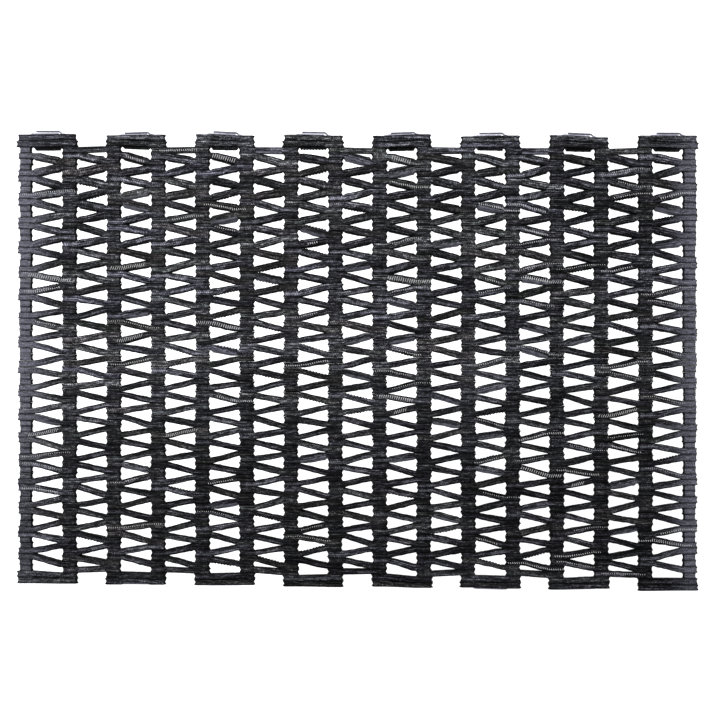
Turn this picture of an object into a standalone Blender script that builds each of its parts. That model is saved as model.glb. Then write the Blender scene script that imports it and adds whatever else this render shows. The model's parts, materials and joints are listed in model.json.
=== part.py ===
"""Door mat of recycled tyre rubber: slanted rubber links threaded on wire loops.

Metres, +Z up, +X along the long side, +Y along the wires towards their lapped ends.
The origin is on the floor, in the middle of the mat. A bay is the strip of mat between two
neighbouring wire runs, and a layer is the thickness of one link along a wire. Layers are
counted from the back of the stack of links towards its front. Odd bays lie inside a wire
loop, with straight end links at both ends. Even bays bridge two loops, which hinges them.
"""

import math

import bmesh
import bpy

# Driving dimensions
BAYS = 15
WIRE_PITCH = 0.05975  # between the centres of neighbouring wire runs
LINK_OVERHANG = 0.0089  # of a link past the wire's centre
LAYER = 0.008
SLANT_PAIRS = 17  # pairs of links in a bay that lean opposite ways; one more link ends the row
MAT_HEIGHT = 0.0095
END_LINK_THICKNESS = 0.0083
END_LINKS = 2  # straight links in a stack between the last layer and the wire's end run
BELLY = 0.0045  # of the inner back end links, which stand wider between the wires than at them
WIRE_DIAMETER = 0.0025
WIRE_LAP = 0.030  # over which the two ends of a loop lie side by side
LAP_STEP = 0.006  # along which the upper end climbs on to the lower one
BEND_INSIDE = 0.00065  # inside radius of the wire's corners

# Clearances
HOLE_CLEARANCE = 0.0004  # between a wire and each side of its hole
LINK_GAP = 0.0004  # between links of neighbouring bays
CONTACT_GAP = 0.0003  # between pieces that touch and do not turn
TURN_CLEARANCE = 0.0004  # between a link end that turns and the slope of its neighbour

CORNER_STEPS = 2
WIRE_BEVEL_RESOLUTION = 2
WELD_DISTANCE = 0.00001

# Derived places
LAYERS_PER_PAIR = 4
LAYERS = LAYERS_PER_PAIR * (SLANT_PAIRS + 1)
STRAND_STEP = (WIRE_DIAMETER + CONTACT_GAP) / math.sqrt(2)  # of the upper strand, back and up
STACK_LENGTH = LAYERS * LAYER
STACK_BACK = (STACK_LENGTH - STRAND_STEP) / 2
STACK_FRONT = STACK_BACK - STACK_LENGTH
END_STACK = END_LINKS * END_LINK_THICKNESS
RUN_OFFSET = END_STACK + CONTACT_GAP + WIRE_DIAMETER / 2
BACK_RUN = STACK_BACK + RUN_OFFSET
FRONT_RUN = STACK_FRONT - RUN_OFFSET
HOLE_SIDE = WIRE_DIAMETER + 2 * HOLE_CLEARANCE
SHOULDER = math.hypot(LINK_OVERHANG, MAT_HEIGHT / 2) + TURN_CLEARANCE  # where a link's slope starts
MAT_DEPTH = BACK_RUN - FRONT_RUN + STRAND_STEP + WIRE_DIAMETER

# Colour, roughness and metallic value of each finish
FINISHES = {
    "loop_bay_rubber": ((0.018, 0.018, 0.020), 0.86, 0.0),
    "bridge_bay_rubber": ((0.024, 0.023, 0.024), 0.88, 0.0),
    "end_link_rubber": ((0.014, 0.015, 0.017), 0.82, 0.0),
    "galvanised_wire": ((0.62, 0.63, 0.65), 0.38, 1.0),
}


def clear_scene():
    for obj in list(bpy.data.objects):
        bpy.data.objects.remove(obj)


def new_collection(name):
    collection = bpy.data.collections.new(name)
    bpy.context.scene.collection.children.link(collection)
    return collection


def finish(name):
    """The named finish as a material."""
    colour, roughness, metallic = FINISHES[name]
    material = bpy.data.materials.new(name)
    material.use_nodes = True
    shader = material.node_tree.nodes["Principled BSDF"]
    shader.inputs["Base Color"].default_value = (*colour, 1.0)
    shader.inputs["Roughness"].default_value = roughness
    shader.inputs["Metallic"].default_value = metallic
    return material


def evaluated_mesh(obj):
    """A plain mesh of what the object evaluates to, welded."""
    bpy.context.view_layer.update()
    graph = bpy.context.evaluated_depsgraph_get()
    mesh = bpy.data.meshes.new_from_object(obj.evaluated_get(graph))
    work = bmesh.new()
    work.from_mesh(mesh)
    bmesh.ops.remove_doubles(work, verts=work.verts, dist=WELD_DISTANCE)
    work.to_mesh(mesh)
    work.free()
    return mesh


def layer_y(layer):
    return STACK_BACK - layer * LAYER


# Outlines of a bay's links, seen from above. The bay's left wire is at x = 0.


def pocket(edge, shoulder, tip, first, last, tip_layer):
    """The wedge between two slanted links, which takes a neighbour's link ends, back to front."""
    back = layer_y(first) + LINK_GAP / 2
    front = layer_y(last) - LINK_GAP / 2
    return [(edge, back), (shoulder, back), (tip, layer_y(tip_layer)), (shoulder, front), (edge, front)]


def left_pockets():
    """The wedges open to the left, front to back."""
    points = []
    for pair in reversed(range(SLANT_PAIRS)):
        first = LAYERS_PER_PAIR * pair + 2
        wedge = pocket(-LINK_OVERHANG, SHOULDER, WIRE_PITCH - SHOULDER, first, first + 2, first + 1)
        points += reversed(wedge)
    return points


def right_pockets():
    """The wedges open to the right, back to front."""
    points = []
    for pair in range(SLANT_PAIRS):
        first = LAYERS_PER_PAIR * (pair + 1)
        edge = WIRE_PITCH + LINK_OVERHANG
        points += pocket(edge, WIRE_PITCH - SHOULDER, SHOULDER, first, first + 2, first + 1)
    return points


def slanted_back():
    """The back edge of a bay in a loop, left to right."""
    left, right = layer_y(1) - LINK_GAP / 2, layer_y(2) - LINK_GAP / 2
    return [
        (-LINK_OVERHANG, left),
        (SHOULDER, left),
        (WIRE_PITCH - SHOULDER, right),
        (WIRE_PITCH + LINK_OVERHANG, right),
    ]


def slanted_front():
    """The front edge of a bay in a loop, right to left."""
    right, left = layer_y(LAYERS - 1) + LINK_GAP / 2, layer_y(LAYERS - 2) + LINK_GAP / 2
    return [
        (WIRE_PITCH + LINK_OVERHANG, right),
        (WIRE_PITCH - SHOULDER, right),
        (SHOULDER, left),
        (-LINK_OVERHANG, left),
    ]


def loop_bay_outlines():
    return [slanted_back() + right_pockets() + slanted_front() + left_pockets()]


def bridge_bay_outlines():
    """A bridging bay has a straight link more at each end, with a narrow wedge beside it."""
    left, right = -LINK_OVERHANG, WIRE_PITCH + LINK_OVERHANG
    near, far = SHOULDER, WIRE_PITCH - SHOULDER
    back, front = layer_y(0) - LINK_GAP / 2, layer_y(LAYERS) + LINK_GAP / 2
    back_wedge = [layer_y(1) + LINK_GAP / 2, layer_y(2) - LINK_GAP / 2]
    front_wedge = [layer_y(LAYERS - 1) - LINK_GAP / 2, layer_y(LAYERS - 2) + LINK_GAP / 2]
    return [
        [(left, back), (right, back)]
        + [(right, back_wedge[0]), (near, back_wedge[0]), (far, back_wedge[1]), (right, back_wedge[1])]
        + right_pockets()
        + [(right, front), (left, front)]
        + [(left, front_wedge[0]), (far, front_wedge[0]), (near, front_wedge[1]), (left, front_wedge[1])]
        + left_pockets()
    ]


def left_edge_bay_outlines():
    """The leftmost bay, with the spacers on its outer wire joined into one bar."""
    outside = (
        [(-LINK_OVERHANG, layer_y(0)), (LINK_OVERHANG, layer_y(0)), (LINK_OVERHANG, layer_y(1))]
        + slanted_back()[2:]
        + right_pockets()
        + slanted_front()[:2]
        + [(LINK_OVERHANG, layer_y(LAYERS - 2)), (LINK_OVERHANG, layer_y(LAYERS))]
        + [(-LINK_OVERHANG, layer_y(LAYERS))]
    )
    windows = []
    for pair in range(SLANT_PAIRS):
        first = LAYERS_PER_PAIR * pair + 2
        tip = (WIRE_PITCH - SHOULDER, layer_y(first + 1))
        windows.append([(LINK_OVERHANG, layer_y(first)), tip, (LINK_OVERHANG, layer_y(first + 2))])
    return [outside] + windows


def right_edge_bay_outlines():
    """The rightmost bay, with the spacers on its outer wire joined into one bar."""
    inner, outer = WIRE_PITCH - LINK_OVERHANG, WIRE_PITCH + LINK_OVERHANG
    outside = (
        slanted_back()[:2]
        + [(inner, layer_y(2)), (inner, layer_y(0)), (outer, layer_y(0)), (outer, layer_y(LAYERS))]
        + [(inner, layer_y(LAYERS)), (inner, layer_y(LAYERS - 1))]
        + slanted_front()[2:]
        + left_pockets()
    )
    windows = []
    for pair in range(SLANT_PAIRS):
        first = LAYERS_PER_PAIR * (pair + 1)
        tip = (SHOULDER, layer_y(first + 1))
        windows.append([(inner, layer_y(first)), tip, (inner, layer_y(first + 2))])
    return [outside] + windows


def end_link_outline():
    """A straight end link. Its middle line is at y = 0."""
    half = (END_LINK_THICKNESS - CONTACT_GAP) / 2
    left, right = -LINK_OVERHANG, WIRE_PITCH + LINK_OVERHANG
    return [(left, half), (right, half), (right, -half), (left, -half)]


def bellied_end_link_outline():
    """An end link that bulges forwards between the wires and is squeezed thinner at its tips."""
    left_back, right_back, (right, front), (left, _) = end_link_outline()
    squeezed, bulged = front + CONTACT_GAP, front - BELLY
    near, far = SHOULDER, WIRE_PITCH - SHOULDER
    return [
        left_back,
        right_back,
        (right, squeezed),
        (far, front),
        (far - BELLY, bulged),
        (near + BELLY, bulged),
        (near, front),
        (left, squeezed),
    ]


# Pieces


def hole_cutters(collection):
    """A square bar along each wire of a bay, which makes the wire's holes."""
    cutters = []
    for side, x in (("left", 0.0), ("right", WIRE_PITCH)):
        work = bmesh.new()
        bmesh.ops.create_cube(work, size=1.0)
        bmesh.ops.scale(work, vec=(HOLE_SIDE, 2 * MAT_DEPTH, HOLE_SIDE), verts=work.verts)
        mesh = bpy.data.meshes.new(f"{side}_wire_hole")
        work.to_mesh(mesh)
        work.free()
        cutter = bpy.data.objects.new(f"{side}_wire_hole", mesh)
        cutter.location.x = x
        cutter.hide_render = True
        cutter.display_type = "WIRE"
        collection.objects.link(cutter)
        cutters.append(cutter)
    return cutters


def drilled(obj, cutters):
    """The mesh of the object with the wire holes cut. The object itself is removed."""
    for cutter in cutters:
        hole = obj.modifiers.new(cutter.name, "BOOLEAN")
        hole.operation = "DIFFERENCE"
        hole.solver = "EXACT"
        hole.object = cutter
    mesh = evaluated_mesh(obj)
    bpy.data.objects.remove(obj)
    return mesh


def link_row(name, outlines, cutters, collection, material):
    """The mesh of a bay's links or of an end link: flat outlines given the mat's height, and drilled."""
    data = bpy.data.curves.new(name, "CURVE")
    data.dimensions = "2D"
    data.fill_mode = "BOTH"
    data.extrude = MAT_HEIGHT / 2
    for outline in outlines:
        spline = data.splines.new("POLY")
        spline.points.add(len(outline) - 1)
        for point, (x, y) in zip(spline.points, outline):
            point.co = (x, y, 0.0, 1.0)
        spline.use_cyclic_u = True
    flat = bpy.data.objects.new(f"{name}_outline", data)
    collection.objects.link(flat)
    blank = bpy.data.objects.new(f"{name}_blank", evaluated_mesh(flat))
    bpy.data.objects.remove(flat)
    collection.objects.link(blank)
    mesh = drilled(blank, cutters)
    mesh.name = name
    mesh.materials.clear()
    mesh.materials.append(material)
    return mesh


def corner(x, y, from_angle):
    """A quarter turn of the wire about a corner's centre, anticlockwise."""
    radius = BEND_INSIDE + WIRE_DIAMETER / 2
    angles = [from_angle + math.pi / 2 * step / CORNER_STEPS for step in range(CORNER_STEPS + 1)]
    return [(x + radius * math.cos(a), y + radius * math.sin(a), 0.0) for a in angles]


def wire_loop(material):
    """A wire loop round a bay: an open tube whose two ends lie side by side at the back."""
    radius = BEND_INSIDE + WIRE_DIAMETER / 2
    near, far = radius, WIRE_PITCH - radius
    back, front = BACK_RUN - radius, FRONT_RUN + radius
    lap_start = (WIRE_PITCH + WIRE_LAP) / 2
    lap_end = (WIRE_PITCH - WIRE_LAP) / 2
    upper = (BACK_RUN + STRAND_STEP, STRAND_STEP)
    points = [(lap_start, BACK_RUN, 0.0)]
    points += corner(near, back, math.pi / 2)
    points += corner(near, front, math.pi)
    points += corner(far, front, 3 * math.pi / 2)
    points += corner(far, back, 0.0)
    points.append((lap_start + LAP_STEP + CONTACT_GAP, BACK_RUN, 0.0))
    points.append((lap_start + CONTACT_GAP, *upper))
    points.append((lap_end, *upper))
    data = bpy.data.curves.new("wire_loop", "CURVE")
    data.dimensions = "3D"
    data.bevel_depth = WIRE_DIAMETER / 2
    data.bevel_resolution = WIRE_BEVEL_RESOLUTION
    data.use_fill_caps = True
    spline = data.splines.new("POLY")
    spline.points.add(len(points) - 1)
    for point, place in zip(spline.points, points):
        point.co = (*place, 1.0)
    spline.use_smooth = True
    data.materials.append(material)
    return data


def build():
    clear_scene()
    mat = new_collection("door_mat")
    helpers = new_collection("cutters")
    cutters = hole_cutters(helpers)
    rubber = finish("loop_bay_rubber")
    rows = {
        "loop": link_row("loop_bay", loop_bay_outlines(), cutters, helpers, rubber),
        "left": link_row("left_edge_bay", left_edge_bay_outlines(), cutters, helpers, rubber),
        "right": link_row("right_edge_bay", right_edge_bay_outlines(), cutters, helpers, rubber),
        "bridge": link_row(
            "bridge_bay", bridge_bay_outlines(), cutters, helpers, finish("bridge_bay_rubber")
        ),
    }
    end_rubber = finish("end_link_rubber")
    straight_link = link_row("end_link", [end_link_outline()], cutters, helpers, end_rubber)
    bellied_link = link_row("bellied_end_link", [bellied_end_link_outline()], cutters, helpers, end_rubber)
    wire = wire_loop(finish("galvanised_wire"))

    def add(name, data, parent, y=0.0):
        piece = bpy.data.objects.new(name, data)
        piece.parent = parent
        piece.location.y = y
        mat.objects.link(piece)

    hinge = None
    for bay in range(1, BAYS + 1):
        # Each bay turns about its left wire, on the bay before it.
        previous, hinge = hinge, bpy.data.objects.new(f"bay_{bay:02d}_hinge", None)
        mat.objects.link(hinge)
        if previous:
            hinge.parent = previous
            hinge.location.x = WIRE_PITCH
        else:
            hinge.location = (-BAYS * WIRE_PITCH / 2, 0.0, MAT_HEIGHT / 2)
        if bay % 2 == 0:
            add(f"bridge_links_{bay // 2}", rows["bridge"], hinge)
            continue
        loop = (bay + 1) // 2
        kind = {1: "left", BAYS: "right"}.get(bay, "loop")
        add(f"loop_links_{loop}", rows[kind], hinge)
        add(f"wire_loop_{loop}", wire, hinge)
        for number in range(END_LINKS):
            offset = (number + 0.5) * END_LINK_THICKNESS
            place = "inner" if number == 0 else "outer" if number == END_LINKS - 1 else f"middle_{number}"
            back_link = bellied_link if number == 0 else straight_link
            add(f"back_{place}_end_link_{loop}", back_link, hinge, STACK_BACK + offset)
            add(f"front_{place}_end_link_{loop}", straight_link, hinge, STACK_FRONT - offset)


build()
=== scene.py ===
"""Looks of the link mat: cut tyre rubber threaded on galvanised wire.

Every bay's links, the spacers of the two outer wires, the end links and the cut ends of the
cloth cords in them are grown by one Geometry Nodes tree, which bends straight blanks from
layer to layer. The wires are curves bent round the end links.
"""

import json
import math

import bmesh
import bpy
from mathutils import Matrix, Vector


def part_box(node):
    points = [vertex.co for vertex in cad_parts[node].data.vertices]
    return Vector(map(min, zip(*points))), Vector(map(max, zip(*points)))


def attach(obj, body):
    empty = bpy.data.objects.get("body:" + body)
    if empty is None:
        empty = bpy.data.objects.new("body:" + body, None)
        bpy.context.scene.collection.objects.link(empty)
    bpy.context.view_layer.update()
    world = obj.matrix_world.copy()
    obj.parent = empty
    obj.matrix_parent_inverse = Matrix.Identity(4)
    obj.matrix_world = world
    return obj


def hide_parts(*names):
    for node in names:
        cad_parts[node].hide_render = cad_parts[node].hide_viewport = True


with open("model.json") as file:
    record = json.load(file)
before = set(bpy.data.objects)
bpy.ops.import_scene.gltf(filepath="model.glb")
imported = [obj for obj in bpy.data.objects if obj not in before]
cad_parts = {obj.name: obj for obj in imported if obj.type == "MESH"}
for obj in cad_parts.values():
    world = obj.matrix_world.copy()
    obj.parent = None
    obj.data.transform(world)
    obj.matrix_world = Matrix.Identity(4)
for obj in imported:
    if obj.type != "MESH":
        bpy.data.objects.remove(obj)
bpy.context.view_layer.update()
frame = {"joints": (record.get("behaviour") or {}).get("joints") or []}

# ---------------------------------------------------------------- sizes, from the frame

LAYERS = 72  # links stacked along a wire
LINKS = 35  # slanted links in a bay
SPACERS = 37  # on each outer wire
LOOPS = 8
BAYS = 2 * LOOPS - 1

hinges = sorted(joint["pos_m"][0] for joint in frame["joints"])
PITCH = hinges[1] - hinges[0]
FIRST_WIRE = hinges[0] - PITCH
row_low, row_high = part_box("bridge_links_1")
OVERHANG = hinges[0] - row_low.x
HEIGHT = row_high.z
edge_low, edge_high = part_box("loop_links_1")
LAYER = (edge_high.y - edge_low.y) / LAYERS
STACK_BACK, STACK_FRONT = edge_high.y, edge_low.y
DEPTH = STACK_BACK - STACK_FRONT
plain_low, plain_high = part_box("front_inner_end_link_1")
END_THICKNESS = plain_high.y - plain_low.y
bellied_low, bellied_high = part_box("back_inner_end_link_1")
BELLY = (bellied_high.y - bellied_low.y) - END_THICKNESS
wire_low, wire_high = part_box("wire_loop_1")
WIRE_RADIUS = wire_high.x - hinges[0]

# Finished surfaces of the end links, where the wires' end runs lie
BACK_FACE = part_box("back_outer_end_link_1")[1].y
FRONT_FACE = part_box("front_outer_end_link_1")[0].y
END_LINKS = {  # the y of each end link's middle line
    "back_inner": bellied_high.y - END_THICKNESS / 2,
    "back_outer": BACK_FACE - END_THICKNESS / 2,
    "front_inner": plain_low.y + END_THICKNESS / 2,
    "front_outer": FRONT_FACE + END_THICKNESS / 2,
}

# Hand-made unevenness
LINK_GAP = 0.0001  # seen between two links that are pressed together
FLAT_END = 0.0109  # how far past a wire a link stays square to it, so that its neighbour can turn
SWELL_START = 0.0022  # over which a link swells again, past its squeezed flat
BACK_SWELL = 0.39  # share by which the links swell between the wires, at the mat's back
FRONT_SWELL = 0.03
SWOLLEN_LAYERS = (6.0, 42.0)  # between which the one passes into the other
ROOM = 0.45  # layers that a link may swell or lean past its own, between the wires
LEAN = (0.0027, 0.0068)  # of the layers across the mat: at the back, and what the front adds
SAG = (0.0006, 0.0021, 0.0009)  # everywhere, half-way down, and what the front half has more of
# Ripples of the layers along a wire: reach, waves in radians a metre, and a step for each wire
RIPPLES = (
    (0.0009, 37.0, 2.4),
    (0.0006, 89.0, 4.1),
    (0.00035, 146.0, 1.7),
    (0.0003, 330.0, 5.2),
)
END_LENGTHS = (-0.05, 0.12)  # share by which a link's end is longer than its overhang, at random
THICKNESSES = (0.99, 1.0)
HEIGHTS = (0.955, 1.0)
ROLLED_ABOVE = 0.94  # of a draw from 0 to 1: a link that shows its side between the wires
ODD_ROLL = (0.20, 0.50)
TOOTHED_ABOVE = 0.90  # of another draw: a link with the teeth of a tyre's tread
TOOTH_DEPTH = 0.0011
TWIST = 0.07  # between the wires, either way
END_TWIST = 0.02  # all along, either way


def wire_x(wire):
    """The x of a straight wire run; wire 0 is the leftmost."""
    return FIRST_WIRE + wire * PITCH


def creep(wire, y):
    """How far the links have crept along a wire."""
    down = (STACK_BACK - y) / DEPTH
    lean = -(wire / BAYS - 0.5) * (LEAN[0] + LEAN[1] * down)
    sag = SAG[0] + SAG[1] * math.sin(math.pi * down) - SAG[2] * math.sin(2 * math.pi * down)
    return lean - sag + sum(reach * math.sin(waves * y + step * wire) for reach, waves, step in RIPPLES)


# ---------------------------------------------------------------- node trees


class Field:
    """A socket that can be added, multiplied and so on, which adds Math nodes to its tree."""

    def __init__(self, maker, socket):
        self.maker = maker
        self.socket = socket

    def __add__(self, other):
        return self.maker.math("ADD", self, other)

    def __sub__(self, other):
        return self.maker.math("SUBTRACT", self, other)

    def __rsub__(self, other):
        return self.maker.math("SUBTRACT", other, self)

    def __mul__(self, other):
        return self.maker.math("MULTIPLY", self, other)

    def __truediv__(self, other):
        return self.maker.math("DIVIDE", self, other)

    __radd__ = __add__
    __rmul__ = __mul__


class Maker:
    """Adds nodes to a shader or Geometry Nodes tree."""

    def __init__(self, tree):
        self.tree = tree

    def join(self, socket, value):
        if isinstance(value, Field):
            value = value.socket
        if isinstance(value, bpy.types.NodeSocket):
            self.tree.links.new(value, socket)
        else:
            socket.default_value = value

    def node(self, kind, inputs=None, **settings):
        node = self.tree.nodes.new(kind)
        for name, value in settings.items():
            setattr(node, name, value)
        for name, value in (inputs or {}).items():
            self.join(node.inputs[name], value)
        return node

    def field(self, kind, inputs=None, output=0, **settings):
        return Field(self, self.node(kind, inputs, **settings).outputs[output])

    def math(self, operation, *values):
        node = self.node("ShaderNodeMath", operation=operation)
        for socket, value in zip(node.inputs, values):
            self.join(socket, value)
        return Field(self, node.outputs[0])

    def size(self, value):
        return self.math("ABSOLUTE", value)

    def lower(self, first, second):
        return self.math("MINIMUM", first, second)

    def upper(self, first, second):
        return self.math("MAXIMUM", first, second)

    def split(self, vector):
        node = self.node("ShaderNodeSeparateXYZ", {"Vector": vector})
        return [Field(self, output) for output in node.outputs]

    def vector(self, x, y, z):
        return self.field("ShaderNodeCombineXYZ", {"X": x, "Y": y, "Z": z})

    def ramp(self, value, low, high, to_low=0.0, to_high=1.0, curve="SMOOTHSTEP"):
        """The value carried from one range to another, and held beyond its ends."""
        inputs = {"Value": value, "From Min": low, "From Max": high, "To Min": to_low, "To Max": to_high}
        return self.field("ShaderNodeMapRange", inputs, interpolation_type=curve)

    def mixed(self, first, second, share):
        return first + (second - first) * share

    def noise(self, vector, scale=1.0, detail=2.0, roughness=0.5, output="Fac"):
        inputs = {"Vector": vector, "Scale": scale, "Detail": detail, "Roughness": roughness}
        return self.field("ShaderNodeTexNoise", inputs, output=output)


# ---------------------------------------------------------------- finishes


def new_material(name):
    material = bpy.data.materials.new(name)
    material.use_nodes = True
    maker = Maker(material.node_tree)
    return material, maker, material.node_tree.nodes["Principled BSDF"]


def mix_colour(maker, factor, first, second, blend="MIX"):
    node = maker.node("ShaderNodeMix", data_type="RGBA", blend_type=blend)
    maker.join(node.inputs["Factor"], factor)
    maker.join(node.inputs[6], first)
    maker.join(node.inputs[7], second)
    return node.outputs[2]


def colour_steps(maker, factor, steps):
    """A colour ramp through (place, colour) steps."""
    node = maker.node("ShaderNodeValToRGB", {"Fac": factor})
    elements = node.color_ramp.elements
    while len(elements) < len(steps):
        elements.new(1.0)
    for element, (place, colour) in zip(elements, steps):
        element.position = place
        element.color = (*colour, 1.0)
    return node.outputs["Color"]


def bump(maker, shader, height, strength, distance):
    node = maker.node("ShaderNodeBump", {"Strength": strength, "Distance": distance, "Height": height})
    maker.join(shader.inputs["Normal"], node.outputs["Normal"])


def attribute(maker, name, output="Fac"):
    return maker.field("ShaderNodeAttribute", output=output, attribute_name=name)


# Tyres of many makes go into a mat, so every strip has a black of its own.
TYRE_BLACKS = [
    (0.00, (0.020, 0.020, 0.023)),
    (0.16, (0.030, 0.030, 0.037)),
    (0.30, (0.032, 0.030, 0.031)),
    (0.44, (0.024, 0.026, 0.027)),
    (0.58, (0.030, 0.030, 0.039)),
    (0.72, (0.042, 0.043, 0.047)),
    (0.84, (0.026, 0.028, 0.028)),
    (0.93, (0.034, 0.034, 0.041)),
    (1.00, (0.017, 0.017, 0.021)),
]
# Pale grey of dust patches, also used for painted light on the mat's edges and on rolled strips' shown
# sides
DUST_AND_LIGHT_GREY = (0.210, 0.212, 0.265, 1.0)
PALE_THREAD = (0.30, 0.30, 0.33, 1.0)
# How many times brightness doubles from a pattern's darkest to its palest
STREAK_DOUBLINGS, FIBRE_DOUBLINGS, BLOT_DOUBLINGS, GRIT_DOUBLINGS = 10.0, 8.0, 4.5, 8.0
PALEST = 7.0  # times a strip's own black
DIAGONAL_BRIGHTNESS = (0.80, 1.42)  # brightness at the front right and at the back left of the mat
# Strength of the painted light along the mat's left and right edges
EDGE_PAINTED_LIGHT = 1.2


def cut_rubber(name, edge_light_share):
    """Rubber cut from tyres: fibrous streaks and cloth plies along each strip, with painted shade on its
    long sides and cut ends, and painted light on the mat's edges (weighted by the second argument) and
    on rolled strips' shown sides.
    """
    material, maker, shader = new_material(name)
    along, across, up = maker.split(attribute(maker, "strip", "Vector"))
    lot = attribute(maker, "lot")
    cut_end = attribute(maker, "cut_end")
    rolled = attribute(maker, "rolled")
    shift = lot * 9.0
    own = maker.field("ShaderNodeTexWhiteNoise", {"W": lot * 31.0}, noise_dimensions="1D")

    streaks = maker.noise(maker.vector(along * 22 + shift, across * 600, up * 600), 1.0, 2.0, 0.5)
    fibres = maker.noise(maker.vector(along * 150 + shift, across * 900, up * 900), 1.0, 2.0, 0.6)
    blots = maker.noise(maker.vector(along * 110 + shift, across * 260, up * 260), 1.0, 2.0, 0.6)
    grit = maker.noise(maker.vector(along + shift, across, up), 520.0, 2.0, 0.6)
    wobble = maker.noise(maker.vector(along * 30 + shift, 0.0, 0.0), 1.0, 1.0)
    plies = maker.size(maker.math("FRACT", across * 420 + wobble * 1.2 + shift) - 0.5)
    ply_line = maker.ramp(plies, 0.10, 0.22, 1.0, 0.0)
    beat = maker.size(maker.math("FRACT", along * 370 + across * 190 + shift) - 0.5)
    hatch = maker.ramp(beat, 0.16, 0.30, 1.0, 0.0) * maker.ramp(blots, 0.45, 0.62)
    hatch = hatch * maker.ramp(own, 0.50, 0.60)

    # Brightness goes by doublings, so that worn patches are pale and hollows black.
    doublings = (streaks - 0.5) * STREAK_DOUBLINGS + (fibres - 0.5) * FIBRE_DOUBLINGS
    doublings = doublings + (blots - 0.5) * BLOT_DOUBLINGS + (grit - 0.5) * GRIT_DOUBLINGS
    doublings = doublings + maker.ramp(own, 0.0, 1.0, -1.1, 0.9, "LINEAR")
    light = maker.lower(maker.math("POWER", 2.0, doublings), PALEST)
    bright_grit = maker.ramp(grit, 0.58, 0.70)
    light = light * (1.0 - ply_line * 0.6) * (hatch * 1.6 + 1.0)
    # Painted shade on the long sides, stronger between the wires, and on the cut ends; dust stays off
    # both, and a rolled strip's sides between the wires get no painted shade.
    side = maker.ramp(maker.size(across), LAYER * 0.24, LAYER * 0.45)
    rolled_side_shown = maker.ramp(rolled, 0.15, 0.30)
    shaded = side * (attribute(maker, "free") * 0.6 + 0.3)
    light = light * (1.0 - shaded * (1.0 - rolled_side_shown)) * (1.0 - cut_end * 0.9)
    # Brighter towards the back left and darker towards the front right; at the front the stacks at the
    # wires are darker than the rest.
    place = maker.field("ShaderNodeTexCoord", output="Object")
    x, y, _ = maker.split(place)
    light = light * maker.ramp(y * 0.75 - x * 0.6, -0.35, 0.28, *DIAGONAL_BRIGHTNESS)
    stacked = (1.0 - attribute(maker, "free")) * maker.ramp(y, -0.20, 0.05, 0.35, 0.0)
    light = light * (1.0 - stacked)
    colour = colour_steps(maker, lot, TYRE_BLACKS)
    colour = mix_colour(maker, 1.0, colour, maker.vector(light, light, light), "MULTIPLY")

    # Dust patches, plus painted light: pale bands along the mat's left and right edges, weaker on the
    # end links
    patches = maker.noise(place, 9.0, 3.0, 0.6)
    left_edge = maker.ramp(x, FIRST_WIRE - OVERHANG, FIRST_WIRE + PITCH * 0.75, 1.0, 0.0)
    left_edge = left_edge * maker.ramp(maker.size(y - 0.10), 0.10, 0.30, 1.0, 0.35) * edge_light_share
    right_edge = maker.ramp(x, -FIRST_WIRE - PITCH * 0.6, -FIRST_WIRE + OVERHANG) * edge_light_share
    dust_and_edge_light = maker.ramp(patches, 0.50, 0.80, 0.0, 0.14) + (left_edge + right_edge) * EDGE_PAINTED_LIGHT
    dust_and_edge_light = dust_and_edge_light * maker.ramp(fibres, 0.30, 0.70, 0.35, 1.0) * maker.ramp(grit, 0.35, 0.65, 0.5, 1.3)
    dust_and_edge_light = dust_and_edge_light * (1.0 - cut_end) * (1.0 - side * 0.7)
    # Painted light: the shown side of a rolled strip is mixed towards pale grey, grained by the fibres
    painted_lit_side = side * rolled_side_shown * maker.ramp(across, -0.0005, 0.0005, 1.0, 0.0)
    painted_lit_side = painted_lit_side * maker.ramp(fibres, 0.35, 0.65, 0.3, 0.9)
    colour = mix_colour(maker, dust_and_edge_light + painted_lit_side, colour, DUST_AND_LIGHT_GREY)
    threads = bright_grit * maker.ramp(own, 0.2, 0.5) * maker.ramp(fibres, 0.55, 0.68) * (1.0 - side)
    colour = mix_colour(maker, threads * 0.8, colour, PALE_THREAD)

    maker.join(shader.inputs["Base Color"], colour)
    shader.inputs["Specular IOR Level"].default_value = 0.06
    maker.join(shader.inputs["Roughness"], maker.ramp(streaks, 0.25, 0.75, 0.55, 0.85, "LINEAR"))
    relief = streaks * 0.5 + fibres * 0.5 + grit * 0.4 + blots * 0.4 - ply_line * 0.4 + hatch * 0.5
    bump(maker, shader, relief, 0.9, 0.0007)
    return material


def ply_cord():
    """The pale twisted cord of a tyre's cloth plies, with rubber rubbed into it."""
    material, maker, shader = new_material("ply_cord")
    place = maker.field("ShaderNodeTexCoord", output="Object")
    soot = maker.noise(place, 700.0, 3.0, 0.7)
    patches = maker.noise(place, 60.0, 2.0, 0.5)
    steps = [(0.38, (0.012, 0.012, 0.014)), (0.50, (0.036, 0.036, 0.043)), (0.64, (0.080, 0.080, 0.096))]
    colour = colour_steps(maker, soot * 0.5 + patches * 0.5, steps)
    lot = attribute(maker, "lot")
    own = maker.field("ShaderNodeTexWhiteNoise", {"W": lot * 17.0}, noise_dimensions="1D")
    rubbed = maker.ramp(own, 0.0, 1.0, 0.2, 0.9)
    colour = mix_colour(maker, 1.0, colour, maker.vector(rubbed, rubbed, rubbed), "MULTIPLY")
    maker.join(shader.inputs["Base Color"], colour)
    shader.inputs["Roughness"].default_value = 0.85
    shader.inputs["Specular IOR Level"].default_value = 0.2
    bump(maker, shader, maker.noise(place, 3500.0, 2.0, 0.6), 0.5, 0.0002)
    return material


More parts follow.
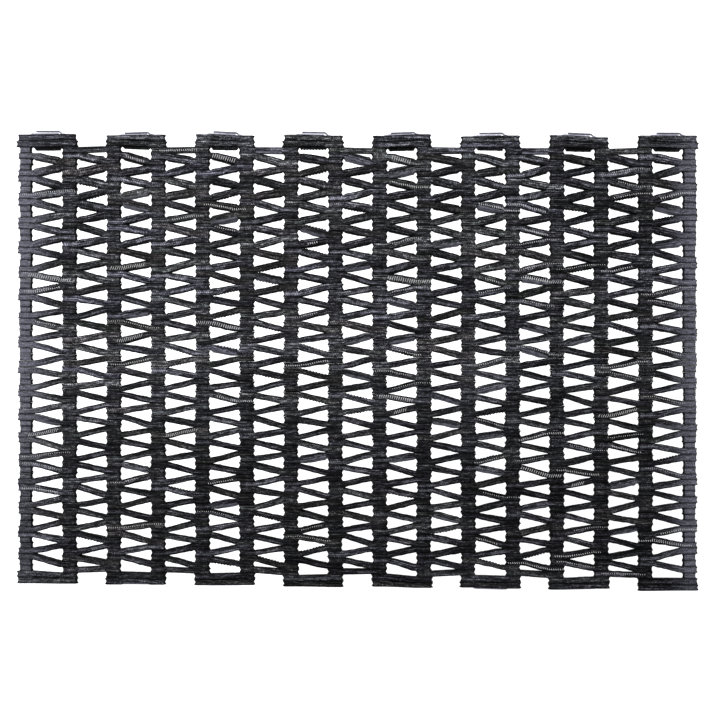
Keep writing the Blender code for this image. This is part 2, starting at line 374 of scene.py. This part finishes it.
def zinc_coated_wire():
    """Drawn steel with a zinc coat: bright, with dull bloom and fine grain; the upper lapped end is
    coloured darker.
    """
    material, maker, shader = new_material("zinc_coated_wire")
    place = maker.field("ShaderNodeTexCoord", output="Object")
    bloom = maker.noise(place, 320.0, 4.0, 0.65)
    bright = [(0.30, (0.42, 0.42, 0.52)), (0.55, (0.66, 0.66, 0.78)), (0.75, (0.84, 0.84, 0.93))]
    dull = [(0.30, (0.10, 0.10, 0.13)), (0.55, (0.19, 0.19, 0.23)), (0.75, (0.32, 0.32, 0.36))]
    z = maker.split(place)[2]
    # The upper lapped end is coloured darker than the rest
    upper_end_dark = maker.ramp(z, HEIGHT / 2 + WIRE_RADIUS * 1.0, HEIGHT / 2 + WIRE_RADIUS * 1.3)
    bright_zinc, dull_zinc = colour_steps(maker, bloom, bright), colour_steps(maker, bloom, dull)
    maker.join(shader.inputs["Base Color"], mix_colour(maker, upper_end_dark, bright_zinc, dull_zinc))
    shader.inputs["Metallic"].default_value = 0.40
    maker.join(shader.inputs["Roughness"], maker.ramp(bloom, 0.3, 0.7, 0.55, 0.34))
    bump(maker, shader, maker.noise(place, 2600.0, 2.0, 0.6), 0.35, 0.0002)
    return material


# ---------------------------------------------------------------- blanks

CORNER_WEAR = 0.0006  # how far a strip's long edges are worn back
END_BULGE = 0.0015  # how far a cut end stands out past the link's length, half-way up
END_LEAN = 0.0008  # how far its upper and lower edges fall short of that length
FACETS = 38  # along a strip
FACET = (PITCH + 2 * OVERHANG) / FACETS
TIP_SQUEEZE = 0.93  # a cut end is this much smaller than the strip
HOLE_RADIUS = WIRE_RADIUS + 0.0003
HOLE_SIDES = 10
CORD_PITCH = 0.0029  # between the cut ends of cords


def new_object(name, mesh):
    obj = bpy.data.objects.new(name, mesh)
    bpy.context.scene.collection.objects.link(obj)
    return obj


def new_mesh(name, work):
    """A mesh of the bmesh's faces, all turned outwards."""
    bmesh.ops.recalc_face_normals(work, faces=work.faces)
    mesh = bpy.data.meshes.new(name)
    work.to_mesh(mesh)
    work.free()
    return mesh


def plain_mesh(obj):
    bpy.context.view_layer.update()
    graph = bpy.context.evaluated_depsgraph_get()
    return bpy.data.meshes.new_from_object(obj.evaluated_get(graph), depsgraph=graph)


def cross_section():
    """A strip's cut square section with worn corners, as (y, z), one layer thick."""
    side, wear = LAYER / 2, CORNER_WEAR
    inner, high = side - wear, HEIGHT - wear
    low_side = [(-inner, 0.0), (inner, 0.0), (side, wear), (side, HEIGHT / 2), (side, high)]
    top = [(inner * share, HEIGHT) for share in (1.0, 0.33, -0.33, -1.0)]
    return low_side + top + [(-side, high), (-side, HEIGHT / 2), (-side, wear)]


def rubber_blank(name, end, holes, short=0.0):
    """A straight strip that starts before its left wire at x = 0, drilled across at the holes."""
    work = bmesh.new()
    start, end = short - OVERHANG, end - short
    steps = round((end - start) / FACET)
    rings = []
    for step in range(steps + 1):
        x = start + (end - start) * step / steps
        tip = {0: 1.0, steps: -1.0}.get(step, 0.0)
        squeeze = TIP_SQUEEZE if tip else 1.0
        ring = []
        for y, z in cross_section():
            away = 2 * z / HEIGHT - 1
            set_back = tip * ((END_BULGE + END_LEAN) * abs(away) - END_BULGE)
            height = HEIGHT / 2 + (z - HEIGHT / 2) * squeeze
            ring.append(work.verts.new((x + set_back, y * squeeze, height)))
        rings.append(ring)
    for first, second in zip(rings, rings[1:]):
        for index in range(len(first)):
            following = (index + 1) % len(first)
            work.faces.new((first[index], first[following], second[following], second[index]))
    for cap in (rings[0], rings[-1]):
        middle = work.verts.new(sum((vert.co for vert in cap), Vector()) / len(cap))
        for index in range(len(cap)):
            work.faces.new((cap[index], cap[(index + 1) % len(cap)], middle))
    blank = new_object(name, new_mesh(name, work))
    for x in holes:
        drill(blank, x)
    return blank


def drill(blank, x):
    """Cuts a wire hole across the blank."""
    work = bmesh.new()
    bmesh.ops.create_cone(
        work, cap_ends=True, segments=HOLE_SIDES,
        radius1=HOLE_RADIUS, radius2=HOLE_RADIUS, depth=4 * LAYER,
    )
    for vert in work.verts:
        vert.co = Vector((x + vert.co.x, vert.co.z, HEIGHT / 2 - vert.co.y))
    cutter = new_object("drill", new_mesh("drill", work))
    hole = blank.modifiers.new("hole", "BOOLEAN")
    hole.operation = "DIFFERENCE"
    hole.solver = "EXACT"
    hole.object = cutter
    drilled = plain_mesh(blank)
    blank.modifiers.clear()
    blank.data = drilled
    bpy.data.objects.remove(cutter)


def cord_blank(name, length, width, proud, angle, middle=0.0):
    """A row of cut cord ends along the top of a strip: low rounded bars, each set across it."""
    work = bmesh.new()
    count = round((PITCH + 2 * OVERHANG - 0.003) / CORD_PITCH / 2)
    turn = math.radians(angle)
    base, top = HEIGHT - 0.0004, HEIGHT + proud
    sections = [  # place along the bar, share of its width and share of its rise
        (-0.5, 0.25, 0.3), (-0.32, 0.9, 0.85), (0.0, 1.0, 1.0), (0.32, 0.9, 0.85), (0.5, 0.25, 0.3),
    ]
    for seat in range(-count, count + 1):
        centre = round(PITCH / 2 / CORD_PITCH + seat) * CORD_PITCH
        rings = []
        for place, girth, rise in sections:
            far = place * length
            half = girth * width / 2
            height = base + (top - base) * rise
            ring = []
            for side, z in ((-half, base), (-half * 0.55, height), (half * 0.55, height), (half, base)):
                x = centre + side * math.cos(turn) - far * math.sin(turn)
                y = middle + side * math.sin(turn) + far * math.cos(turn)
                ring.append(work.verts.new((x, y, z)))
            rings.append(ring)
        for first, second in zip(rings, rings[1:]):
            for index in range(4):
                following = (index + 1) % 4
                work.faces.new((first[index], first[following], second[following], second[index]))
        for cap in (rings[0], rings[-1]):
            work.faces.new(cap)
    return new_object(name, new_mesh(name, work))


# ---------------------------------------------------------------- growing the rubber

FLOAT, WHOLE, THING, FINISH = (
    "NodeSocketFloat", "NodeSocketInt", "NodeSocketObject", "NodeSocketMaterial"
)
ROW_INPUTS = {
    "Blank": THING, "Finish": FINISH, "Seed": WHOLE, "Pick": WHOLE, "Share": FLOAT, "Trim": FLOAT,
    "First": WHOLE, "Count": WHOLE, "Wire": FLOAT, "Blank end": FLOAT,
    "Left start": FLOAT, "Left gap": FLOAT, "Right start": FLOAT, "Right gap": FLOAT,
    "Lowest layer": FLOAT, "Highest layer": FLOAT,
    "Left reach": FLOAT, "Right reach": FLOAT, "Wander": FLOAT,
    "Thickness": FLOAT, "Swell": FLOAT, "Bow": FLOAT, "Roll": FLOAT, "Belly": FLOAT,
}


def new_tree(name, inputs):
    """A Geometry Nodes tree with named inputs. Returns it, its maker and its inputs as fields."""
    tree = bpy.data.node_groups.new(name, "GeometryNodeTree")
    for label, kind in inputs.items():
        tree.interface.new_socket(label, in_out="INPUT", socket_type=kind)
    tree.interface.new_socket("Geometry", in_out="OUTPUT", socket_type="NodeSocketGeometry")
    maker = Maker(tree)
    entry = maker.node("NodeGroupInput")
    return tree, maker, {label: Field(maker, entry.outputs[label]) for label in inputs}


def close_tree(maker, geometry, finish):
    """Ends a tree: plain geometry in one finish."""
    real = maker.node("GeometryNodeRealizeInstances", {"Geometry": geometry})
    done = maker.node("GeometryNodeSetMaterial", {"Geometry": real.outputs[0], "Material": finish})
    leave = maker.node("NodeGroupOutput")
    maker.join(leave.inputs["Geometry"], done.outputs[0])


def stored(maker, geometry, name, value, kind="FLOAT"):
    inputs = {"Geometry": geometry, "Name": name, "Value": value}
    node = maker.node("GeometryNodeStoreNamedAttribute", inputs, data_type=kind, domain="POINT")
    return node.outputs["Geometry"]


def removed(maker, geometry, selection):
    inputs = {"Geometry": geometry, "Selection": selection}
    return maker.node("GeometryNodeDeleteGeometry", inputs, domain="POINT").outputs[0]


def chance(maker, low, high, link, seed):
    """A number between low and high that is the same all over one link."""
    node = maker.node("FunctionNodeRandomValue", data_type="FLOAT")
    sockets = {socket.identifier: socket for socket in node.inputs}
    for identifier, value in (("Min_001", low), ("Max_001", high), ("ID", link), ("Seed", seed)):
        maker.join(sockets[identifier], value)
    outputs = {socket.identifier: socket for socket in node.outputs}
    return Field(maker, outputs["Value_001"])


def layer_of(maker, link, given, side):
    """The layer that a link's end lies in at one wire: links come in pairs, four layers apart."""
    pair = maker.math("FLOOR", link / 2.0)
    layer = given[side + " start"] + pair * 4.0 + given[side + " gap"] * (link - pair * 2.0)
    return maker.lower(maker.upper(layer, given["Lowest layer"]), given["Highest layer"])


def crept(maker, layer, wire):
    """The y of a layer on a wire, with what the links have crept there."""
    y = STACK_BACK - layer * LAYER
    share = (wire / BAYS - 0.5) * -1.0
    moved = y + share * (layer * (LEAN[1] / LAYERS) + LEAN[0]) - SAG[0]
    moved = moved - maker.math("SINE", layer * (math.pi / LAYERS)) * SAG[1]
    moved = moved + maker.math("SINE", layer * (2 * math.pi / LAYERS)) * SAG[2]
    for reach, waves, step in RIPPLES:
        moved = moved + maker.math("SINE", y * waves + wire * step) * reach
    return moved


def link_row_tree():
    """Blanks in a row along a bay: each a link of its own, bent from layer to layer and cut unevenly."""
    tree, maker, given = new_tree("link_row", ROW_INPUTS)
    seed = given["Seed"]
    line = maker.node("GeometryNodeMeshLine", {"Count": given["Count"], "Offset": (0.0, 0.0, 0.0)})
    number = maker.field("GeometryNodeInputIndex") + given["First"]
    points = stored(maker, line.outputs[0], "link", number)
    link = maker.field(
        "GeometryNodeInputNamedAttribute", {"Name": "link"}, output="Attribute", data_type="FLOAT"
    )
    pick = seed + given["Pick"]
    luck = chance(maker, 0.0, 1.0, link, pick)
    points = removed(maker, points, maker.math("GREATER_THAN", luck, given["Share"]))
    blank = maker.node("GeometryNodeObjectInfo", {"Object": given["Blank"]}).outputs["Geometry"]
    copies = maker.node("GeometryNodeInstanceOnPoints", {"Points": points, "Instance": blank})
    strips = maker.node("GeometryNodeRealizeInstances", {"Geometry": copies.outputs[0]}).outputs[0]
    here = maker.field("GeometryNodeInputPosition")
    x, y, z = maker.split(here)

    # Cords show over part of a strip's length only.
    seat = maker.math("ROUND", x / CORD_PITCH) * CORD_PITCH
    before = maker.math("LESS_THAN", seat, chance(maker, -0.012, 0.022, link, pick + 1))
    after = maker.math("GREATER_THAN", seat, chance(maker, 0.034, 0.074, link, pick + 2))
    strips = removed(maker, strips, (before + after) * given["Trim"])

    # What the finish needs to know
    nearest_end = maker.lower(x + OVERHANG, given["Blank end"] - x)
    inside = maker.lower(x, PITCH - x)
    free = maker.ramp(inside, FLAT_END, FLAT_END + SWELL_START)
    odd_one = maker.math("GREATER_THAN", chance(maker, 0.0, 1.0, link, seed + 10), ROLLED_ABOVE)
    odd_roll = odd_one * chance(maker, *ODD_ROLL, link, seed + 11)
    roll = given["Roll"] + odd_roll
    strips = stored(maker, strips, "strip", here, "FLOAT_VECTOR")
    strips = stored(maker, strips, "lot", chance(maker, 0.0, 1.0, link, seed + 1))
    # Painted shade on the cut ends: full at a strip's end, gone by 1.7 mm from it
    strips = stored(maker, strips, "cut_end", maker.ramp(nearest_end, 0.0011, 0.0017, 1.0, 0.0))
    strips = stored(maker, strips, "rolled", odd_roll * free)
    strips = stored(maker, strips, "free", free)

    # Uneven lengths, thicknesses and heights
    left, right = layer_of(maker, link, given, "Left"), layer_of(maker, link, given, "Right")
    swell = maker.ramp(left, *SWOLLEN_LAYERS, BACK_SWELL, FRONT_SWELL, "LINEAR") * given["Swell"]
    past_left = maker.lower(x, 0.0)
    past_right = maker.upper(x - given["Blank end"] + OVERHANG, 0.0)
    long_x = (
        x
        + past_left * (chance(maker, *END_LENGTHS, link, seed + 2) + given["Left reach"])
        + past_right * (chance(maker, *END_LENGTHS, link, seed + 3) + given["Right reach"])
    )
    girth = given["Thickness"] / LAYER * chance(maker, *THICKNESSES, link, seed + 4)
    girth = girth * (free * swell * chance(maker, 0.7, 1.3, link, seed + 5) + 1.0)
    wide = y * girth
    tall = z * chance(maker, *HEIGHTS, link, seed + 6) + chance(maker, 0.0, 0.0003, link, seed + 7)

    # Cut edges: a slow wander, small tears, and on some strips the teeth of a tyre's tread
    offset = chance(maker, 0.0, 40.0, link, seed + 8)
    cut = maker.vector(x + offset, y, z)
    wander = maker.split(maker.noise(cut, 60.0, 1.0, output="Color"))[1] - 0.5
    tears = maker.split(maker.noise(cut, 330.0, 2.0, 0.7, "Color"))
    tear_x, tear_y, tear_z = ((tear - 0.5) * (1.0 - given["Trim"]) for tear in tears)
    facet = (x + OVERHANG) / FACET
    teeth = maker.size(maker.math("FRACT", facet / 2.0) - 0.5) * 2.0
    toothed = maker.math("GREATER_THAN", chance(maker, 0.0, 1.0, link, seed + 12), TOOTHED_ABOVE)
    tooth_side = maker.math("GREATER_THAN", y * chance(maker, -1.0, 1.0, link, seed + 13), 0.0)
    notch = teeth * toothed * tooth_side * free * TOOTH_DEPTH
    wide = wide + wander * free * given["Wander"] + tear_y * (free * 0.0010 + 0.0003)
    wide = wide - maker.math("SIGN", y) * notch

    # A twist along the strip, and a roll that shows the side of some
    twist = chance(maker, -TWIST, TWIST, link, seed + 9) * free
    twist = twist + chance(maker, -END_TWIST, END_TWIST, link, seed + 14)
    turn = roll * free + twist
    height_on = tall - HEIGHT / 2
    turned_wide = wide + height_on * turn
    turned_tall = tall - wide * turn * 0.6 - maker.size(turn) * 0.0016 + tear_z * 0.0009
    bow = free * (given["Bow"] * chance(maker, 0.7, 1.1, link, seed + 15))

    # From layer to layer, kept within the link's own layer at the wires
    straight = maker.ramp(x, FLAT_END, PITCH - FLAT_END, curve="LINEAR")
    eased = maker.ramp(x, FLAT_END, PITCH - FLAT_END)
    slope = straight * 0.85 + eased * 0.15
    centre = maker.mixed(left, right, slope)
    half = (given["Thickness"] - LINK_GAP) * (0.5 / LAYER)
    room = free * ROOM
    least = maker.upper(maker.lower(left, right) - half, centre - half - room)
    belly = free * given["Belly"]
    most = maker.lower(maker.upper(left, right) + half + belly, centre + half + room + belly)
    layer = centre - (turned_wide + bow) / LAYER
    moved = maker.lower(maker.upper(layer, least), most) - centre
    wire = given["Wire"]
    left_y, right_y = crept(maker, left + moved, wire), crept(maker, right + moved, wire + 1.0)
    final_y = maker.mixed(left_y, right_y, slope)
    final_x = wire * PITCH + FIRST_WIRE + long_x + tear_x * 0.0008
    place = maker.vector(final_x, final_y, maker.upper(turned_tall, 0.0))
    bent = maker.node("GeometryNodeSetPosition", {"Geometry": strips, "Position": place})
    close_tree(maker, bent.outputs[0], given["Finish"])
    return tree


def grown(name, tree, sizes):
    """The plain mesh that the tree makes with these sizes, as an object."""
    carrier = new_object("carrier", bpy.data.meshes.new("carrier"))
    growth = carrier.modifiers.new("growth", "NODES")
    growth.node_group = tree
    for item in tree.interface.items_tree:
        if item.in_out == "INPUT":
            growth[item.identifier] = sizes[item.name]
    mesh = plain_mesh(carrier)
    bpy.data.objects.remove(carrier)
    mesh.name = name
    return new_object(name, mesh)


def merged(name, parts):
    """One object of several in the same finish."""
    work = bmesh.new()
    for part in parts:
        work.from_mesh(part.data)
    mesh = bpy.data.meshes.new(name)
    work.to_mesh(mesh)
    work.free()
    mesh.materials.append(parts[0].data.materials[0])
    for part in parts:
        bpy.data.objects.remove(part)
    return new_object(name, mesh)


def soften(piece, angle):
    """Smooth shading, with edges sharper than the angle kept."""
    piece.data.shade_smooth()
    piece.data.set_sharp_from_angle(angle=math.radians(angle))


OUTER_REACH = -0.03  # share of its overhang that an outermost link's end has more (less, here)
LEFT_SPACER_REACH, RIGHT_SPACER_REACH = -0.24, -0.16  # the same for the spacers
WHOLE_STRIPS = {"Pick": 0, "Share": 1.0, "Trim": 0.0}
SLANTED = {
    "Left start": 1.5, "Left gap": 3.0, "Right start": 2.5, "Right gap": 1.0,
    "Lowest layer": 0.5, "Highest layer": LAYERS - 0.5, "Blank end": PITCH + OVERHANG,
    "Left reach": 0.0, "Right reach": 0.0, "Wander": 0.0022,
    "Thickness": LAYER, "Swell": 1.0, "Bow": 0.0, "Roll": 0.0, "Belly": 0.0,
}


def make_bays(tree, strip, cords, finishes):
    """The rubber links of every bay, and the cords that show in some of them."""
    for bay in range(BAYS):
        bridging = bay % 2 == 1
        kind, number = ("bridge", (bay + 1) // 2) if bridging else ("loop", bay // 2 + 1)
        body = f"{kind}_bay_{number}"
        # A bridging bay has a straight link more at each end.
        row = {
            **SLANTED, "Seed": 100 * bay, "Wire": float(bay),
            "First": -1 if bridging else 0, "Count": LINKS + 2 if bridging else LINKS,
        }
        row["Left reach"] = OUTER_REACH if bay == 0 else 0.0
        row["Right reach"] = OUTER_REACH if bay == BAYS - 1 else 0.0
        sizes = {**row, **WHOLE_STRIPS, "Blank": strip, "Finish": finishes[kind]}
        strips = grown(f"{body}_strips", tree, sizes)
        soften(strips, 55)
        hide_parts(f"{kind}_links_{number}")
        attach(strips, body)
        rows = []
        for index, (share, blank) in enumerate(cords):
            pick = {"Pick": 40 + 5 * index, "Share": share, "Trim": 1.0}
            sizes = {**row, **pick, "Blank": blank, "Finish": finishes["cord"]}
            rows.append(grown("cord_row", tree, sizes))
        cord_ends = merged(f"{body}_cord_ends", rows)
        soften(cord_ends, 50)
        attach(cord_ends, body)


def make_spacers(tree, blank, finish):
    """The short spacers on the two outer wires."""
    sides = {
        "left": (
            0.0, 1,
            {"First": -1, "Left start": 2.5, "Right start": 2.5, "Left reach": LEFT_SPACER_REACH},
        ),
        "right": (
            float(BAYS), LOOPS,
            {"First": 0, "Left start": 0.5, "Right start": 0.5, "Right reach": RIGHT_SPACER_REACH},
        ),
    }
    for index, (side, (wire, loop, places)) in enumerate(sides.items()):
        sizes = {
            **SLANTED, **WHOLE_STRIPS, **places,
            "Blank": blank, "Finish": finish, "Seed": 5000 + 100 * index,
            "Count": SPACERS, "Wire": wire, "Blank end": OVERHANG, "Left gap": 1.0, "Right gap": 1.0,
        }
        piece = grown(f"{side}_edge_spacers", tree, sizes)
        soften(piece, 55)
        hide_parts(f"loop_links_{loop}")
        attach(piece, f"loop_bay_{loop}")


def make_end_links(tree, blank, finish):
    """The straight links that take the wire's pull. The inner back ones have rolled forwards."""
    for loop in range(1, LOOPS + 1):
        for index, (place, y) in enumerate(END_LINKS.items()):
            layer = (STACK_BACK - y) / LAYER
            sizes = {
                **SLANTED, **WHOLE_STRIPS, "Blank": blank, "Finish": finish,
                "Seed": 8000 + 100 * loop + 20 * index, "First": 0, "Count": 1, "Wire": 2.0 * loop - 2.0,
                "Left start": layer, "Right start": layer, "Lowest layer": layer, "Highest layer": layer,
                "Thickness": END_THICKNESS + LINK_GAP, "Swell": 0.05, "Wander": 0.0006,
            }
            if place == "back_inner":
                sizes.update({"Roll": 0.42, "Bow": -0.0020, "Belly": BELLY / LAYER})
            reach = -0.06 if place == "back_outer" else 0.12
            sizes.update({"Left reach": reach, "Right reach": reach})
            piece = grown(f"{place}_end_strip_{loop}", tree, sizes)
            soften(piece, 55)
            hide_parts(f"{place}_end_link_{loop}")
            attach(piece, f"loop_bay_{loop}")


# ---------------------------------------------------------------- wires

BURIED = 0.0016  # how deep the wire has pulled into the outer end links at its corners
EMERGES = 0.0055  # how far from its corner it comes out of the rubber
LAP = 0.030
UPPER_END = (1.85, 0.75)  # how far behind and above the lower one it lies, in wire radii
CLIMB = 0.005  # over which the upper end climbs on to the lower one
CORNER_RADIUS = 3.2 * WIRE_RADIUS
CORNER_STEPS = 5
CURVE_ROUNDNESS = 4
# How far each loop's front run stands proud of the rubber in the middle, in wire radii
FRONT_SHOWS = (0.3, 0.2, 0.9, 0.5, 0.4, 1.9, 0.8, 0.6)


def eased(share):
    share = min(max(share, 0.0), 1.0)
    return share * share * (3 - 2 * share)


def end_run(start, end, face, outward, proud, steps=28):
    """A wire's run across the end links: buried at its corners, and bowed out of the rubber between."""
    low, high = min(start, end), max(start, end)
    points = []
    for step in range(steps + 1):
        x = start + (end - start) * step / steps
        free = eased((x - low) / EMERGES) * eased((high - x) / EMERGES)
        arch = math.sin(math.pi * (x - low) / (high - low))
        depth = -BURIED + (BURIED + proud * 0.85) * free + proud * 0.15 * arch
        points.append((x, face + outward * depth, 0.0))
    return points


def corner(x, y, start):
    """A quarter turn anticlockwise about (x, y), inside the rubber."""
    radius = CORNER_RADIUS
    angles = [start + math.pi / 2 * step / CORNER_STEPS for step in range(CORNER_STEPS + 1)]
    return [(x + radius * math.cos(angle), y + radius * math.sin(angle), 0.0) for angle in angles]


def wire_path(loop):
    """The middle line of a loop's wire, from its lower lapped end round to its upper one."""
    left_wire = 2 * loop - 2
    left, right = wire_x(left_wire), wire_x(left_wire + 1)
    near, far, middle = left + CORNER_RADIUS, right - CORNER_RADIUS, (left + right) / 2
    back, front = BACK_FACE - BURIED - CORNER_RADIUS, FRONT_FACE + BURIED + CORNER_RADIUS
    back_run = end_run(near, far, BACK_FACE, 1.0, WIRE_RADIUS)
    lap_right, lap_left = middle + LAP / 2, middle - LAP / 2
    front_proud = WIRE_RADIUS * (FRONT_SHOWS[loop - 1] - 1.0)

    points = [point for point in reversed(back_run) if point[0] <= lap_right]
    points += corner(near, back, math.pi / 2)
    points += corner(near, front, math.pi)
    points += end_run(near, far, FRONT_FACE, -1.0, front_proud)[1:-1]
    points += corner(far, front, 3 * math.pi / 2)
    points += corner(far, back, 0.0)
    points += [point for point in reversed(back_run[:-1]) if point[0] > lap_right + CLIMB]
    behind, above = (share * WIRE_RADIUS for share in UPPER_END)
    swing = 0.0004 * math.sin(2.4 * loop)
    for step in range(1, 25):
        x = lap_right + CLIMB + (lap_left - lap_right - CLIMB) * step / 24
        climbed = eased((lap_right + CLIMB - x) / CLIMB)
        wander = swing * (lap_right - x) / LAP
        points.append((x, BACK_FACE + WIRE_RADIUS + climbed * behind + wander, climbed * above))
    placed = []
    for x, y, z in points:
        share = (x - left) / PITCH
        moved = creep(left_wire, y) * (1 - share) + creep(left_wire + 1, y) * share
        placed.append((x, y + moved, HEIGHT / 2 + z))
    return placed


def make_wires(finish):
    for loop in range(1, LOOPS + 1):
        name = f"wire_{loop}"
        data = bpy.data.curves.new(name, "CURVE")
        data.dimensions = "3D"
        data.bevel_depth = WIRE_RADIUS
        data.bevel_resolution = CURVE_ROUNDNESS
        data.use_fill_caps = True
        points = wire_path(loop)
        spline = data.splines.new("POLY")
        spline.points.add(len(points) - 1)
        for point, place in zip(spline.points, points):
            point.co = (*place, 1.0)
        curve = new_object(name + "_curve", data)
        work = bmesh.new()
        work.from_mesh(plain_mesh(curve))
        bpy.data.objects.remove(curve)
        bmesh.ops.remove_doubles(work, verts=work.verts, dist=0.00001)
        piece = new_object(name, new_mesh(name, work))
        piece.data.materials.append(finish)
        soften(piece, 50)
        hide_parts(f"wire_loop_{loop}")
        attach(piece, f"loop_bay_{loop}")


# ---------------------------------------------------------------- stage


FLOOR_DROP = 0.60  # the floor lies this far below the mat, to leave room for bays that fold down


def pale_floor():
    bpy.ops.mesh.primitive_plane_add(size=8.0)
    floor = bpy.context.object
    floor.name = "studio_floor"
    floor.location.z = -FLOOR_DROP
    material, _, shader = new_material("pale_floor")
    shader.inputs["Base Color"].default_value = (0.90, 0.90, 0.92, 1.0)
    shader.inputs["Roughness"].default_value = 0.9
    shader.inputs["Emission Color"].default_value = (1.0, 1.0, 1.0, 1.0)
    shader.inputs["Emission Strength"].default_value = 0.75
    floor.data.materials.append(material)


def area_light(name, place, size, watts):
    data = bpy.data.lights.new(name, "AREA")
    data.size = size
    data.energy = watts
    light = bpy.data.objects.new(name, data)
    light.location = place
    light.rotation_euler = (-Vector(place)).to_track_quat("-Z", "Y").to_euler()
    bpy.context.scene.collection.objects.link(light)


def studio():
    """Soft boxes low on all sides, so that the rubber's grain shows and little shines straight up."""
    world = bpy.data.worlds.new("studio_world")
    world.use_nodes = True
    sky = world.node_tree.nodes["Background"]
    sky.inputs["Color"].default_value = (0.95, 0.96, 1.0, 1.0)
    sky.inputs["Strength"].default_value = 0.16
    bpy.context.scene.world = world
    area_light("left_softbox", (-1.9, 0.5, 1.5), 1.2, 36.0)
    area_light("right_softbox", (1.9, 0.3, 1.5), 1.2, 8.0)
    area_light("back_softbox", (0.2, 1.9, 1.6), 1.2, 30.0)
    area_light("front_softbox", (-0.2, -1.9, 1.5), 1.2, 6.0)
    bpy.context.scene.view_settings.view_transform = "Standard"


def overhead_camera():
    """Straight above the mat, with its plane filling most of the view."""
    distance, view_width = 1.6, 0.9690
    data = bpy.data.cameras.new("camera")
    data.sensor_width = 36.0
    data.lens = data.sensor_width * distance / view_width
    camera = bpy.data.objects.new("camera", data)
    camera.location = (0.0033, 0.0, HEIGHT + distance)
    bpy.context.scene.collection.objects.link(camera)
    bpy.context.scene.camera = camera


def main():
    overhead_camera()
    studio()
    pale_floor()
    finishes = {
        "loop": cut_rubber("loop_strip_rubber", 1.0),
        "bridge": cut_rubber("bridge_strip_rubber", 1.0),
        "end": cut_rubber("end_strip_rubber", 0.5),
        "cord": ply_cord(),
    }
    tree = link_row_tree()
    strip = rubber_blank("strip_blank", PITCH + OVERHANG, (0.0, PITCH))
    spacer = rubber_blank("spacer_blank", OVERHANG, (0.0,), 0.0002)
    cords = [  # the share of links that they show in, and the row
        (0.07, cord_blank("comb_blank", 0.0026, 0.0010, 0.00030, 28.0, -0.0006)),
        (0.02, cord_blank("rib_blank", 0.0054, 0.0008, 0.00030, -24.0)),
        (0.11, cord_blank("dot_blank", 0.0013, 0.0012, 0.00025, 15.0, 0.0012)),
    ]
    make_bays(tree, strip, cords, finishes)
    make_spacers(tree, spacer, finishes["loop"])
    make_end_links(tree, strip, finishes["end"])
    make_wires(zinc_coated_wire())
    for blank in [strip, spacer] + [row for _, row in cords]:
        bpy.data.objects.remove(blank)


main()
